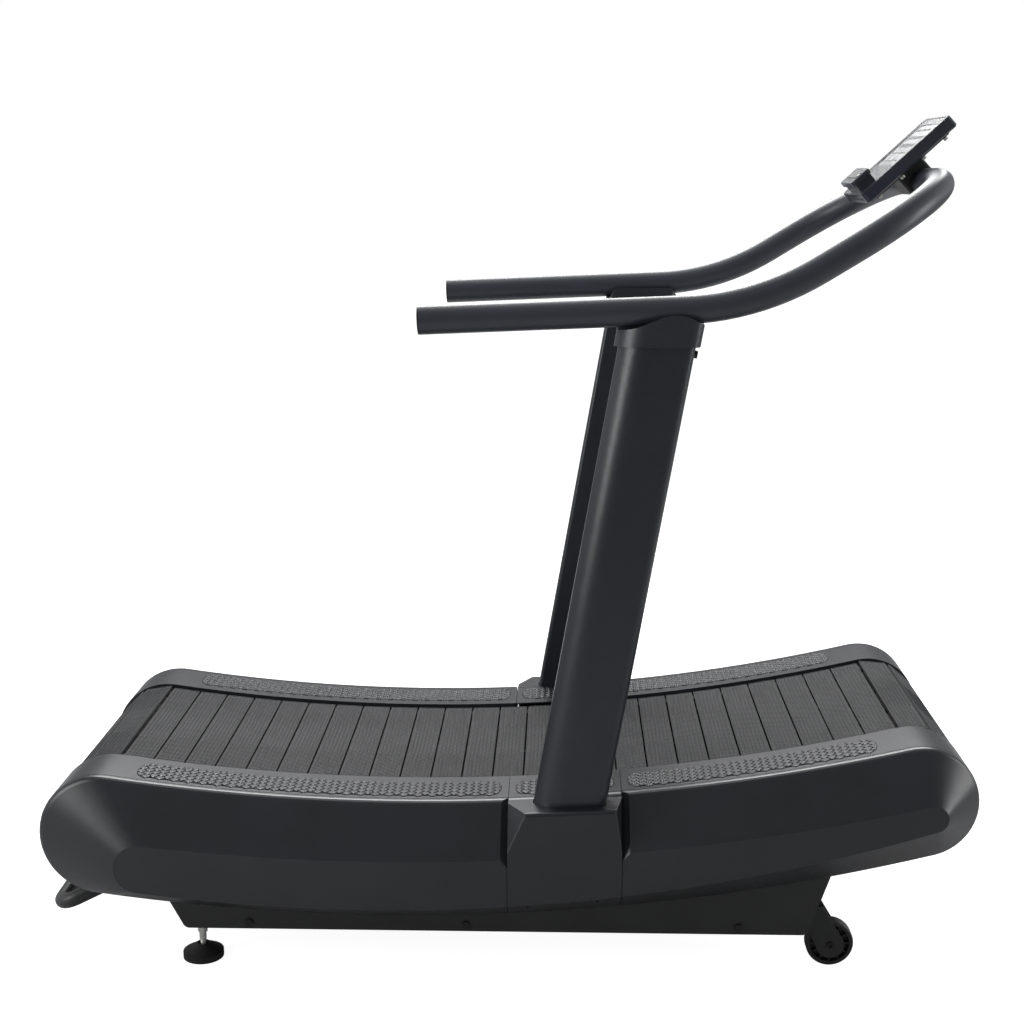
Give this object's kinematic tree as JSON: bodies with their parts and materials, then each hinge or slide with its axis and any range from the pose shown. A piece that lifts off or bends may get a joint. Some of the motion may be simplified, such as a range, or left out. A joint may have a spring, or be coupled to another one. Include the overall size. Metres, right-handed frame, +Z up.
{
  "type": "curved manual treadmill",
  "caption": "Motorless treadmill with a curved slat belt, side covers, two leaning uprights, a looped handlebar and a console.",
  "frame": {"origin": "on the floor under the middle of the machine's footprint", "axes": "+X the way a runner faces, +Y the runner's left, +Z up"},
  "size_m": [1.775, 0.833, 1.6291],
  "materials": {
    "frame_paint": "satin black powder coat",
    "upright_paint": "satin black powder coat",
    "handlebar_paint": "satin charcoal powder coat",
    "cover_plastic": "satin moulded black plastic",
    "collar_plastic": "satin moulded black plastic",
    "console_plastic": "fine-textured black plastic",
    "end_cap_plastic": "black plastic",
    "slat_rubber": "moulded charcoal rubber with a fine tread",
    "slat_aluminium": "extruded aluminium",
    "carrier_rubber": "black reinforced rubber",
    "shaft_steel": "ground steel",
    "pulley_aluminium": "machined aluminium",
    "bearing_iron": "cast housing",
    "zinc_fastener": "zinc-plated steel",
    "black_fastener": "black oxide",
    "display_glass": "tinted clear window",
    "key_rubber": "silicone rubber",
    "wheel_plastic": "hard black plastic",
    "foot_rubber": "black rubber"
  },
  "bodies": {
    "frame": {"side_plate_left": "frame_paint", "side_plate_right": "frame_paint", "base_rail_left": "frame_paint", "base_rail_right": "frame_paint", "cross_tubes": "frame_paint", "rear_cover_left": "cover_plastic", "rear_cover_right": "cover_plastic", "centre_cover_left": "cover_plastic", "centre_cover_right": "cover_plastic", "front_cover_left": "cover_plastic", "front_cover_right": "cover_plastic", "cover_screws": "black_fastener", "frame_bolts": "black_fastener", "upright_left": "upright_paint", "upright_right": "upright_paint", "upright_brackets": "frame_paint", "collar_left": "collar_plastic", "collar_right": "collar_plastic", "handlebar": "handlebar_paint", "handlebar_end_caps": "end_cap_plastic", "console_bracket": "frame_paint", "console_back_case": "console_plastic", "console_face": "console_plastic", "console_display": "display_glass", "console_screws": "zinc_fastener", "carrier_belts": "carrier_rubber", "shaft_bearings": "bearing_iron", "roller_axles": "shaft_steel", "wheel_forks": "frame_paint", "wheel_axles": "black_fastener", "rear_handle": "frame_paint", "foot_sockets": "zinc_fastener"},
    "top_run": {"top_run_pads": "slat_rubber", "top_run_bars": "slat_aluminium"},
    "return_run": {"return_run_pads": "slat_rubber", "return_run_bars": "slat_aluminium"},
    "front_drum": {"front_shaft": "shaft_steel", "front_pulleys": "pulley_aluminium", "front_run_pads": "slat_rubber", "front_run_bars": "slat_aluminium"},
    "rear_drum": {"rear_shaft": "shaft_steel", "rear_pulleys": "pulley_aluminium", "rear_run_pads": "slat_rubber", "rear_run_bars": "slat_aluminium"},
    "rollers_1": {"support_rollers_1": "shaft_steel"},
    "rollers_2": {"support_rollers_2": "shaft_steel"},
    "rollers_3": {"support_rollers_3": "shaft_steel"},
    "rollers_4": {"support_rollers_4": "shaft_steel"},
    "rollers_5": {"support_rollers_5": "shaft_steel"},
    "rollers_6": {"support_rollers_6": "shaft_steel"},
    "wheel_left": {"wheel_left": "wheel_plastic"},
    "foot_left": {"foot_stud_left": "zinc_fastener"},
    "pad_left": {"foot_pad_left": "foot_rubber"},
    "wheel_right": {"wheel_right": "wheel_plastic"},
    "foot_right": {"foot_stud_right": "zinc_fastener"},
    "pad_right": {"foot_pad_right": "foot_rubber"},
    "key_1": {"console_key_1": "key_rubber"},
    "key_2": {"console_key_2": "key_rubber"},
    "key_3": {"console_key_3": "key_rubber"},
    "key_4": {"console_key_4": "key_rubber"}
  },
  "joints": [
    {"name": "belt_travel", "type": "hinge", "parent": "frame", "child": "top_run", "pos_m": [-0.17813, 0, 4.32138], "axis": [0, 1, 0], "range_deg": [-0.44, 0.44]},
    {"name": "return_travel", "type": "hinge", "parent": "frame", "child": "return_run", "pos_m": [-0.19084, 0, 4.59877], "axis": [0, 1, 0], "range_deg": [-0.4, 0.4]},
    {"name": "front_drum_turn", "type": "hinge", "parent": "frame", "child": "front_drum", "pos_m": [0.7795, 0, 0.374], "axis": [0, 1, 0], "range_deg": [-18.1, 18.1]},
    {"name": "rear_drum_turn", "type": "hinge", "parent": "frame", "child": "rear_drum", "pos_m": [-0.771, 0, 0.303], "axis": [0, 1, 0], "range_deg": [-18.1, 18.1]},
    {"name": "rollers_1_turn", "type": "hinge", "parent": "frame", "child": "rollers_1", "pos_m": [-0.63698, 0, 0.35566], "axis": [0, 1, 0], "range_deg": [-100, 100]},
    {"name": "rollers_2_turn", "type": "hinge", "parent": "frame", "child": "rollers_2", "pos_m": [-0.37872, 0, 0.33424], "axis": [0, 1, 0], "range_deg": [-100, 100]},
    {"name": "rollers_3_turn", "type": "hinge", "parent": "frame", "child": "rollers_3", "pos_m": [-0.11961, 0, 0.32963], "axis": [0, 1, 0], "range_deg": [-100, 100]},
    {"name": "rollers_4_turn", "type": "hinge", "parent": "frame", "child": "rollers_4", "pos_m": [0.13926, 0, 0.34184], "axis": [0, 1, 0], "range_deg": [-100, 100]},
    {"name": "rollers_5_turn", "type": "hinge", "parent": "frame", "child": "rollers_5", "pos_m": [0.39678, 0, 0.37081], "axis": [0, 1, 0], "range_deg": [-100, 100]},
    {"name": "rollers_6_turn", "type": "hinge", "parent": "frame", "child": "rollers_6", "pos_m": [0.65189, 0, 0.41644], "axis": [0, 1, 0], "range_deg": [-100, 100]},
    {"name": "wheel_left_spin", "type": "hinge", "parent": "frame", "child": "wheel_left", "pos_m": [0.635, 0.246, 0.0465], "axis": [0, 1, 0], "continuous": true},
    {"name": "foot_left_height", "type": "slide", "parent": "frame", "child": "foot_left", "axis": [0, 0, 1], "range_m": [-0.02, 0.005]},
    {"name": "pad_left_swivel", "type": "hinge", "parent": "foot_left", "child": "pad_left", "pos_m": [-0.603, 0.25, 0.016], "axis": [0, 1, 0], "range_deg": [-8, 8]},
    {"name": "wheel_right_spin", "type": "hinge", "parent": "frame", "child": "wheel_right", "pos_m": [0.635, -0.246, 0.0465], "axis": [0, 1, 0], "continuous": true},
    {"name": "foot_right_height", "type": "slide", "parent": "frame", "child": "foot_right", "axis": [0, 0, 1], "range_m": [-0.02, 0.005]},
    {"name": "pad_right_swivel", "type": "hinge", "parent": "foot_right", "child": "pad_right", "pos_m": [-0.603, -0.25, 0.016], "axis": [0, 1, 0], "range_deg": [-8, 8]},
    {"name": "key_1_press", "type": "slide", "parent": "frame", "child": "key_1", "axis": [0.6782, 0, -0.7349], "range_m": [0, 0.0012], "stiffness_N_per_m": 900, "springref_m": -0.0004},
    {"name": "key_2_press", "type": "slide", "parent": "frame", "child": "key_2", "axis": [0.6782, 0, -0.7349], "range_m": [0, 0.0012], "stiffness_N_per_m": 900, "springref_m": -0.0004},
    {"name": "key_3_press", "type": "slide", "parent": "frame", "child": "key_3", "axis": [0.6782, 0, -0.7349], "range_m": [0, 0.0012], "stiffness_N_per_m": 900, "springref_m": -0.0004},
    {"name": "key_4_press", "type": "slide", "parent": "frame", "child": "key_4", "axis": [0.6782, 0, -0.7349], "range_m": [0, 0.0012], "stiffness_N_per_m": 900, "springref_m": -0.0004}
  ],
  "couplings": [
    {"joint": "return_travel", "follows": "belt_travel", "ratio": -0.89473},
    {"joint": "front_drum_turn", "follows": "belt_travel", "ratio": -40.962},
    {"joint": "rear_drum_turn", "follows": "belt_travel", "ratio": -40.962},
    {"joint": "rollers_1_turn", "follows": "belt_travel", "ratio": -227.11},
    {"joint": "rollers_2_turn", "follows": "belt_travel", "ratio": -227.11},
    {"joint": "rollers_3_turn", "follows": "belt_travel", "ratio": -227.11},
    {"joint": "rollers_4_turn", "follows": "belt_travel", "ratio": -227.11},
    {"joint": "rollers_5_turn", "follows": "belt_travel", "ratio": -227.11},
    {"joint": "rollers_6_turn", "follows": "belt_travel", "ratio": -227.11}
  ]
}
